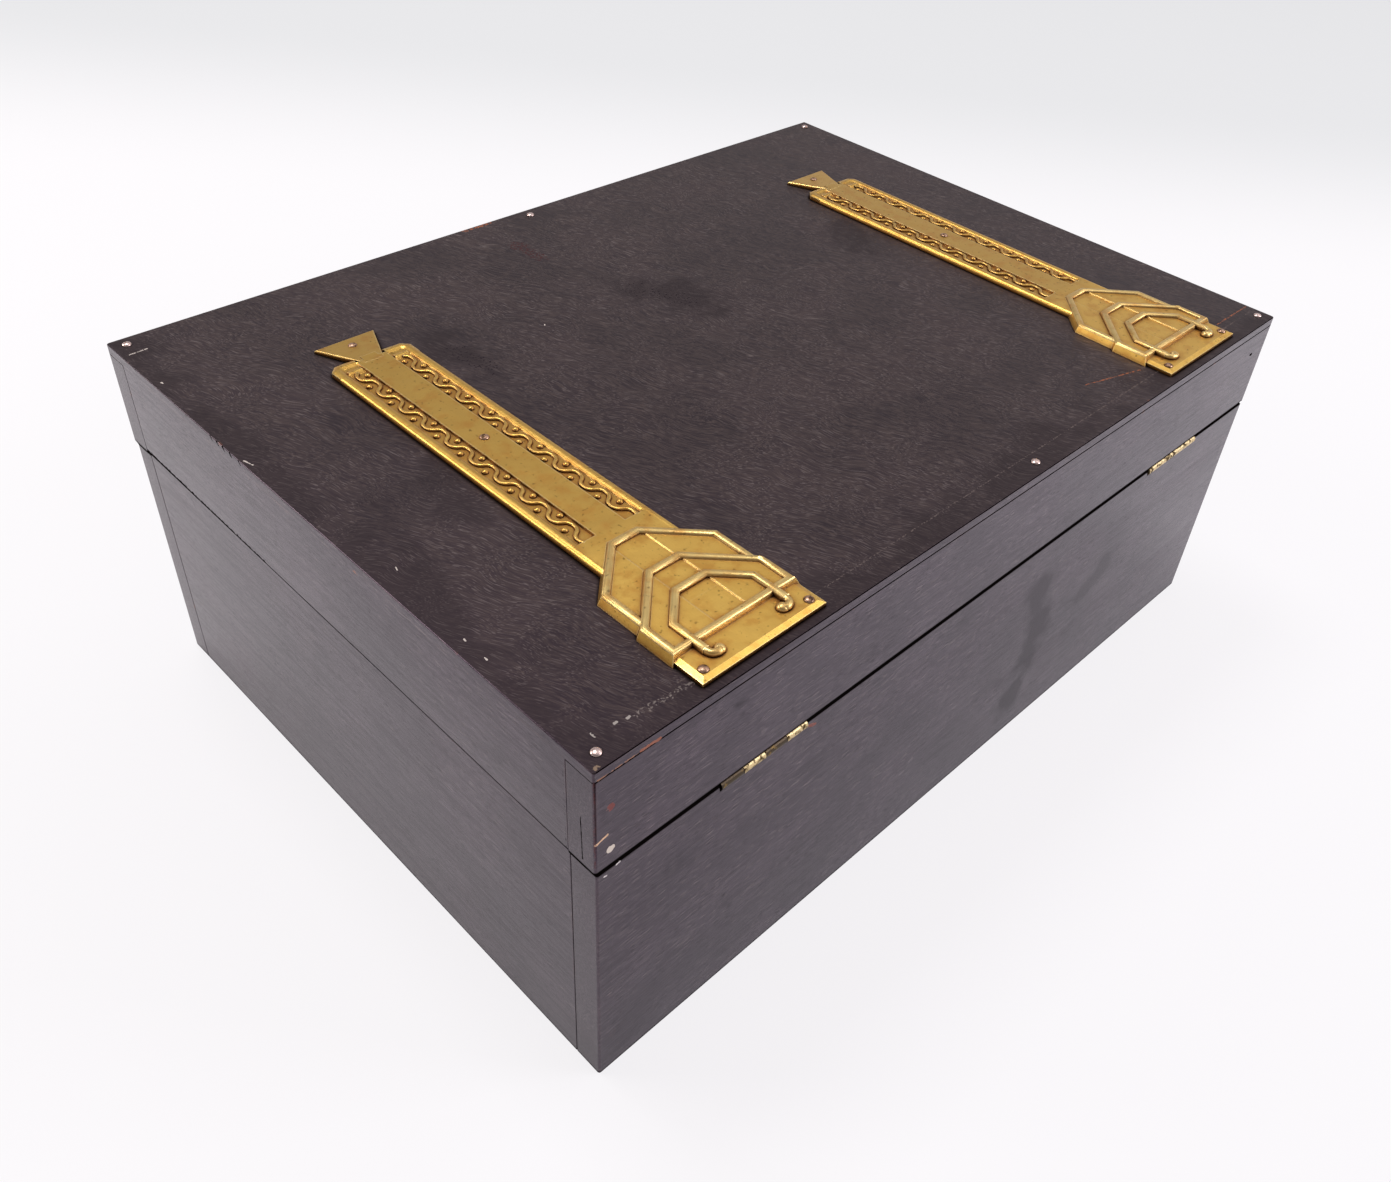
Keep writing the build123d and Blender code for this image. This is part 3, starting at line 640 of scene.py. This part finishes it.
def body_surface(u, v):
    """Height of the stamped body, with its rolled rim, smooth middle band and sunk channels."""
    under_buckle, beside_neck, beyond_channel = 1.2, 0.6, 1.5
    rim_foot, rim_roll, rim_middle = 1.1, 0.85, 1.5
    bar_high, bar_off, bar_in, bar_out = 0.5, 1.3, 5.3, 9.8
    across = abs(u)
    if v < far_top - rib / 2 - max(0.0, across - far_flat):
        return under_buckle
    from_corner = (body_half - across + body_end - v - body_corner) / sqrt(2)
    edge = min(body_half - across, body_end - v, from_corner)
    rim = rim_foot + rim_roll * roll(edge - rim_middle, rim_middle)
    if across < channel_in:
        return beside_neck if v > neck_v and across > neck_half else body_high
    if channel_start < v < channel_end:
        return max(channel_floor, rim) if across > channel_out else channel_floor
    if v < channel_start:
        return rim if edge < rim_middle else body_high
    past_channel = v - channel_end
    cross_bar = bar_high * roll(past_channel - bar_off, 1.0) if bar_in < across < bar_out else 0
    return max(rim, beyond_channel + cross_bar)


def wave_and_beads(side):
    """The running wave down one channel, with a bead in each of its bends."""
    wire, wire_lift, hooked, bead, bead_lift, bead_flat = 0.58, 0.12, 0.42, 0.95, 0.05, 0.85
    middle = (channel_in + channel_out) / 2
    bpy.ops.object.select_all(action="DESELECT")
    bpy.ops.curve.primitive_nurbs_path_add()
    wave = bpy.context.object
    line = wave.data
    line.splines.clear()
    spline = line.splines.new("POLY")
    steps = int((channel_end - channel_start) / wave_pitch * 20)
    spline.points.add(steps)
    for step, point in enumerate(spline.points):
        v = channel_start + (channel_end - channel_start) * step / steps
        phase = 2 * pi * (v - wave_crest) / wave_pitch
        u = middle + wave_swing * cos(phase)
        point.co = mm(side * u, v + hooked * sin(2 * phase), channel_floor + wire_lift).to_4d()
        point.radius = 0.85 + 0.25 * abs(sin(phase))
    line.bevel_depth = mm(wire)
    line.bevel_resolution = 3
    line.use_fill_caps = True
    bpy.ops.object.convert(target="MESH")
    pieces = [wave]
    for bay in range(int((channel_end - channel_start) / (wave_pitch / 2))):
        u = middle - wave_swing * (-1) ** bay
        v = wave_crest - bay * wave_pitch / 2
        bpy.ops.mesh.primitive_uv_sphere_add(
            segments=16, ring_count=8, radius=mm(bead), location=mm(side * u, v, channel_floor + bead_lift))
        pieces.append(bpy.context.object)
        pieces[-1].scale.z = bead_flat
        bpy.ops.object.transform_apply()
    return pieces


def stamped_body():
    """The long body, as a fine grid pressed to shape, with its outer walls turned down to the wood."""
    start, row, columns = 37.0, 0.4, 104
    long = body_end - start
    bpy.ops.object.select_all(action="DESELECT")
    bpy.ops.mesh.primitive_grid_add(x_subdivisions=columns, y_subdivisions=int(long / row), size=1)
    piece = bpy.context.object
    piece.scale = mm(2 * body_half, long, 1)
    piece.location = mm(0, start + long / 2, 0)
    bpy.ops.object.transform_apply()
    bpy.ops.object.mode_set(mode="EDIT")
    for side in (-1, 1):
        bpy.ops.mesh.select_all(action="SELECT")
        corner = mm(side * body_half, body_end - body_corner, 0)
        bpy.ops.mesh.bisect(plane_co=corner, plane_no=(side, 1, 0), clear_outer=True)
    bpy.ops.mesh.select_all(action="SELECT")
    bpy.ops.mesh.normals_make_consistent(inside=False)
    mesh = bmesh.from_edit_mesh(piece.data)
    for vertex in mesh.verts:
        u, v, _ = vertex.co * 1000
        vertex.co.z = mm(body_surface(u, v))
    bmesh.update_edit_mesh(piece.data)
    chosen("EDGE", lambda edge, at: edge.is_boundary)
    bpy.ops.mesh.extrude_region_move()
    bpy.ops.transform.resize(value=(1, 1, 0), center_override=(0, 0, 0))
    bpy.ops.object.mode_set(mode="OBJECT")
    return piece


def hook(side):
    """The turned-in end of one arm of the loop, and the ball on it."""
    wire, wire_z, ball_round, ball_z, ball_flat = 1.12, 1.95, 1.6, 1.75, 0.8
    arm = side * (loop_half - rib / 2)
    bpy.ops.object.select_all(action="DESELECT")
    bpy.ops.curve.primitive_bezier_curve_add()
    bend = bpy.context.object
    spline = bend.data.splines[0]
    spline.bezier_points.add(1)
    places = ((arm, hook_v + 1.0), (arm - side * 0.9, hook_v - 1.5), (arm - side * 2.7, hook_v - 1.3))
    lean = ((0, -0.9), (-side * 0.9, -0.35), (-side * 0.6, 0.7))
    for point, (u, v), (du, dv) in zip(spline.bezier_points, places, lean):
        point.handle_left_type = point.handle_right_type = "FREE"
        point.co = mm(u, v, wire_z)
        point.handle_left = mm(u - du, v - dv, wire_z)
        point.handle_right = mm(u + du, v + dv, wire_z)
    bend.data.bevel_depth = mm(wire)
    bend.data.bevel_resolution = 5
    bend.data.resolution_u = 10
    bend.data.use_fill_caps = True
    bpy.ops.object.convert(target="MESH")
    bpy.ops.mesh.primitive_uv_sphere_add(
        segments=24, ring_count=14, radius=mm(ball_round),
        location=mm(arm - side * 2.8, hook_v - 1.2, ball_z))
    ball = bpy.context.object
    ball.scale.z = ball_flat
    bpy.ops.object.transform_apply()
    return [bend, ball]


def arrow_tip():
    """The flat arrow tip, narrow at the neck and wide at its end."""
    edge_round, neck_share = 0.45, 0.3
    piece = block("tip", (-tip_half, neck_v - 2, 0), (tip_half, tip_end, tip_high))
    chosen("EDGE", lambda edge, at: abs(at.z - tip_high) < 0.01)
    bpy.ops.mesh.bevel(offset=mm(edge_round), segments=2, affect="EDGES")
    chosen("VERT", lambda vertex, at: at.y < neck_v)
    bpy.ops.transform.resize(value=(neck_share, 1, 1), center_override=(0, 0, 0))
    chosen("VERT", lambda vertex, at: at.y < neck_v and at.z > 0.4)
    bpy.ops.transform.translate(value=mm(0, 0, body_high - tip_high + 0.03))
    bpy.ops.object.mode_set(mode="OBJECT")
    return piece


def strap_forms():
    """All the forms of one strap."""
    raised, border, flange_half, flange_high = 0.55, 1.5, 8.8, 0.5
    plate = block("plate", (-plate_half, 0, 0), (plate_half, step_v + 6, plate_high - raised))
    chosen("FACE", lambda face, at: at.z > 0.9)
    bpy.ops.mesh.inset(thickness=mm(border), depth=mm(raised))
    bpy.ops.object.mode_set(mode="OBJECT")
    flange = block("flange", (-flange_half, neck_v - 3, 0), (flange_half, neck_v + 3.6, flange_high))
    bpy.ops.object.mode_set(mode="OBJECT")
    far_bottom, past_the_end = big_top - big_half + big_flat, -60
    panels = [
        arch_panel("far_panel", far_half, far_flat, far_top, far_bottom, far_panel),
        arch_panel("big_panel", big_half, big_flat, big_top, step_v, big_panel),
    ]
    ribs = [
        arch_rib("far_rib", far_half, far_flat, far_top, 21.0, past_the_end, far_rib),
        arch_rib("big_rib", big_half, big_flat, big_top, step_v, bar_width, big_rib),
        arch_rib("loop", loop_half, loop_flat, loop_top, hook_v, past_the_end, loop_rib),
    ]
    flats = [plate, flange, arrow_tip()] + panels
    hooks = hook(-1) + hook(1)
    body = [stamped_body()] + wave_and_beads(-1) + wave_and_beads(1)
    for pieces, angle, brass in (
            (flats, 14, stamped_brass),
            (ribs, 30, rubbed_brass),
            (hooks, 60, rubbed_brass),
            (body, 50, stamped_brass)):
        for piece in pieces:
            piece.data.materials.clear()
            piece.data.materials.append(brass)
            smoothed(piece, angle)
    return flats + ribs + hooks + body


def gilt(name, bright, deep, tarnish):
    """Gilt brass, warm yellow and half matt, with brown tarnish in its hollows."""
    material, tree = new_material(name)
    place = add(tree, "TexCoord", out="Object")
    cloud = add(tree, "TexNoise", {"Vector": place, "Scale": 1000 / 7.7, "Detail": 4.0})
    colour = add(tree, "Mix", {0: cloud, 6: linear(bright), 7: linear(deep)}, out=2, data_type="RGBA")

    # Beyond the buckle, which ends 56 mm behind the middle of the lid, the brass colour is painted darker:
    # painted shade for its dimmer reflection there.
    along = add(tree, "SeparateXYZ", {0: place}, out="Y")
    painted_body_shade = add(tree, "MapRange", {0: along, 1: mm(59), 2: mm(52), 4: 0.4})
    colour = add(tree, "Mix", {0: painted_body_shade, 6: colour, 7: linear("#ae8746")}, out=2, data_type="RGBA")

    # Orange-brown lies in patches and near the walls, brown at their foot, and black in the deepest corners.
    patches = add(tree, "TexNoise", {"Vector": place, "Scale": 1000 / 3.85, "Detail": 4.0})
    patches = add(tree, "MapRange", {0: patches, 1: 0.5, 2: 0.68, 4: 0.6})
    near = add(tree, "AmbientOcclusion", {"Distance": mm(6.0)}, out="AO", samples=8)
    near = add(tree, "MapRange", {0: near, 1: 0.98, 2: 0.84})
    warm = add(tree, "Math", {0: near, 1: 0.3, 2: patches}, operation="MULTIPLY_ADD")
    warm = add(tree, "Math", {0: warm, 1: 0.75}, operation="MULTIPLY", use_clamp=True)
    colour = add(tree, "Mix", {0: warm, 6: colour, 7: linear("#c98c40")}, out=2, data_type="RGBA")
    foot = add(tree, "AmbientOcclusion", {"Distance": mm(2.2)}, out="AO", samples=8)
    foot = add(tree, "MapRange", {0: foot, 1: 0.93, 2: 0.74})
    brown = add(tree, "Math", {0: foot, 1: 0.9}, operation="MULTIPLY")
    colour = add(tree, "Mix", {0: brown, 6: colour, 7: linear(tarnish)}, out=2, data_type="RGBA")
    corner = add(tree, "AmbientOcclusion", {"Distance": mm(1.4)}, out="AO", samples=8)
    corner = add(tree, "MapRange", {0: corner, 1: 0.72, 2: 0.5})
    colour = add(tree, "Mix", {0: corner, 6: colour, 7: linear("#2e1c0d")}, out=2, data_type="RGBA")
    specks = add(tree, "TexNoise", {"Vector": place, "Scale": 1000 / 1.11, "Detail": 2.0})
    specks = add(tree, "MapRange", {0: specks, 1: 0.64, 2: 0.74, 4: 0.6})
    colour = add(tree, "Mix", {0: specks, 6: colour, 7: linear("#6b4a22")}, out=2, data_type="RGBA")

    # Every free edge is painted paler: rubbed bright by the polishing cloth, and a painted highlight where
    # the edges catch the light.
    round_edge = add(tree, "Bevel", {"Radius": mm(0.5)}, samples=4)
    face = add(tree, "NewGeometry", out="Normal")
    bend = add(tree, "VectorMath", {0: round_edge, 1: face}, out="Value", operation="DOT_PRODUCT")
    bent = add(tree, "MapRange", {0: bend, 1: 0.985, 2: 0.9})
    free = add(tree, "AmbientOcclusion", {"Distance": mm(0.8)}, out="AO", samples=8)
    free = add(tree, "MapRange", {0: free, 1: 0.8, 2: 0.95})
    rounded_edges = add(tree, "Math", {0: bent, 1: free}, operation="MULTIPLY")
    colour = add(tree, "Mix", {0: rounded_edges, 6: colour, 7: linear("#f4dc9c")}, out=2, data_type="RGBA")

    # The sheet is a little uneven, in dents of 4.5 mm and a grain of 0.7 mm.
    dents = add(tree, "TexNoise", {"Vector": place, "Scale": 1000 / 4.55, "Detail": 1.0})
    fine = add(tree, "TexNoise", {"Vector": place, "Scale": 1000 / 0.667, "Detail": 4.0})
    uneven = add(tree, "Math", {0: dents, 1: 4.0, 2: fine}, operation="MULTIPLY_ADD")
    surface = add(tree, "BsdfPrincipled", {
        "Base Color": colour,
        "Metallic": 1.0,
        "Roughness": add(tree, "MapRange", {0: foot, 3: 0.36, 4: 0.55}),
        "Normal": add(tree, "Bump", {"Strength": 0.4, "Distance": mm(0.06), "Height": uneven}),
    })
    add(tree, "OutputMaterial", {"Surface": surface})
    return material


stamped_brass = gilt("stamped_brass_tarnished", "#ecc266", "#dbad54", "#80502a")
rubbed_brass = gilt("stamped_brass_rubbed_ribs", "#e2c888", "#cfa965", "#7a522f")

forms = strap_forms()
bpy.ops.object.select_all(action="DESELECT")
for form in forms:
    form.select_set(True)
bpy.context.view_layer.objects.active = forms[0]
bpy.ops.object.join()
stamping = bpy.context.object

# Both straps start close to the back edge and run towards the front. The right one lies slightly askew.
strap_inset = 2.9
strap_spots = {}
for side, middle_x, skew in (("right", 96.8, 0.3), ("left", -105.0, 0.0)):
    bpy.ops.object.select_all(action="DESELECT")
    relief = bpy.data.objects.new(side + "_strap_relief", stamping.data.copy())
    bpy.context.collection.objects.link(relief)
    turn = Matrix.Rotation(radians(180 + skew), 4, "Z")
    spot = Matrix.Translation((middle_x, half_depth - strap_inset, lid_top)) @ turn
    strap_spots[side] = spot
    relief.data.transform(Matrix.Scale(0.001, 4) @ spot @ Matrix.Scale(1000, 4))
    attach(relief, "lid")
    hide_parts(side + "_strap")
bpy.data.objects.remove(stamping)


# The pins
# Small brass pins hold the straps down, and domed pins of nickelled steel hold the top board at its corners
# and in the middle of its long edges. Tarnish lies on them in patches, and painted shade darkens the rims of
# their heads.

def metal(name, polished, stained, roughness, stain_share=0.5):
    """Metal with patches of tarnish some 1.4 mm across, duller in them, and painted shade round its foot."""
    material, tree = new_material(name)
    place = add(tree, "TexCoord", out="Object")
    patch = add(tree, "TexNoise", {"Vector": place, "Scale": 1000 / 1.43, "Detail": 4.0})
    threshold = 0.62 - 0.25 * stain_share
    amount = add(tree, "MapRange", {0: patch, 1: threshold, 2: threshold + 0.1})
    colour = add(tree, "Mix", {0: amount, 6: linear(polished), 7: linear(stained)}, out=2, data_type="RGBA")
    # Painted shade: the metal turns dark brown where ambient occlusion finds a surface close by, round its
    # foot.
    foot = add(tree, "AmbientOcclusion", {"Distance": mm(0.9)}, out="AO", samples=8)
    foot = add(tree, "MapRange", {0: foot, 1: 0.9, 2: 0.6})
    colour = add(tree, "Mix", {0: foot, 6: colour, 7: linear("#1d130c")}, out=2, data_type="RGBA")
    surface = add(tree, "BsdfPrincipled", {
        "Base Color": colour,
        "Metallic": 1.0,
        "Roughness": add(tree, "MapRange", {0: amount, 3: roughness, 4: roughness + 0.25}),
        "Normal": add(tree, "Bump", {"Strength": 0.2, "Distance": mm(0.04), "Height": patch}),
    })
    add(tree, "OutputMaterial", {"Surface": surface})
    return material


def domed_pins(node, body, places, material):
    """Pins with smooth domed heads and straight shanks, for heads whose middles stand at these places."""
    head_round, head_high, shank_round = 1.35, 0.7, 0.6
    bpy.ops.object.select_all(action="DESELECT")
    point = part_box(node)[0].z * 1000
    pins = []
    for x, y, z in places:
        bpy.ops.mesh.primitive_uv_sphere_add(
            segments=28, ring_count=14, radius=mm(head_round), location=mm(x, y, z))
        pins.append(bpy.context.object)
        pins[-1].scale.z = head_high / head_round
        bpy.ops.object.transform_apply()
        bpy.ops.mesh.primitive_cylinder_add(
            vertices=16, radius=mm(shank_round), depth=mm(z - point), location=mm(x, y, (z + point) / 2))
        pins.append(bpy.context.object)
    for pin in pins:
        pin.select_set(True)
    bpy.context.view_layer.objects.active = pins[0]
    bpy.ops.object.join()
    group = bpy.context.object
    group.name = node + "_smooth"
    bpy.ops.object.transform_apply()
    bpy.ops.object.shade_smooth_by_angle(angle=radians(40))
    group.data.materials.clear()
    group.data.materials.append(material)
    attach(group, body)
    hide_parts(node)


# Tarnished brass is brown and half matt. Nickelled steel is pale and smoother, with a few brown patches.
pin_brass = metal("tarnished_brass_pins", "#b08c74", "#5a4330", 0.36)
pin_steel = metal("nickelled_steel_pins", "#d8bfb8", "#8f6d54", 0.3, stain_share=0.2)
corner_x, edge_y, back_pin_x = 145.8, 104.3, -12.5
board_pins = [(x, y, lid_top) for x in (-corner_x, corner_x) for y in (-edge_y, edge_y)]
board_pins += [(back_pin_x, edge_y, lid_top), (0, -edge_y, lid_top)]
domed_pins("lid_top_pins", "lid", board_pins, pin_steel)
plate_pin_u, plate_pin_v, body_pin_v, tip_pin_v = 17.25, 2.95, 104.5, 168.1
strap_pins = (
    (-plate_pin_u, plate_pin_v, plate_high),
    (plate_pin_u, plate_pin_v, plate_high),
    (0, body_pin_v, body_high),
    (0, tip_pin_v, tip_high + 0.1),
)
for side, spot in strap_spots.items():
    heads = [spot @ Vector(head) for head in strap_pins]
    domed_pins(side + "_strap_pins", "lid", heads, pin_brass)


# The brads
# Iron brads with flat heads join the boards. They were stained over with the wood, so they take its finish.
# The stain has come off one in the lid's right back corner, and the one above it shows red-brown.

for name in base_brads:
    nodes[name].data.materials[0] = side_beech
nodes["lid_joint_brads"].data.materials[0] = stained_beech(
    "stained_over_iron_brads", **long_board_look,
    scars=(
        ((145.1, 108.5, 91.5), (145.9, 108.5, 91.5), 1.2, "#c9bdae", 0.0),
        ((145.5, 108.5, 105.1), (145.5, 108.5, 105.9), 1.2, "#6a3022", 0.0),
    ))


# The hinges
# Plain butt hinges of sheet brass, let into the base's back edge, with brass screws. Black stain was brushed
# over them. It has worn off the left hinge, and off every second knuckle of the right one.

# Worn brass is pale and dull, with brown left in patches. Brass shows in specks through the black stain.
worn_hinge = metal("worn_hinge_brass", "#cfb98c", "#59482e", 0.42, stain_share=0.45)
painted_hinge = metal("stained_over_hinge_brass", "#4a4034", "#8d7347", 0.4, stain_share=0.15)
screw_brass = metal("brass_screws", "#c8a662", "#7a5f38", 0.32)
for side in ("right", "left"):
    nodes[side + "_hinge_base_leaf"].data.materials[0] = painted_hinge if side == "right" else worn_hinge
    nodes[side + "_hinge_lid_leaf"].data.materials[0] = worn_hinge
    nodes[side + "_hinge_pin"].data.materials[0] = worn_hinge
    for name in ("base_screws", "lid_screws"):
        nodes[side + "_hinge_" + name].data.materials[0] = screw_brass
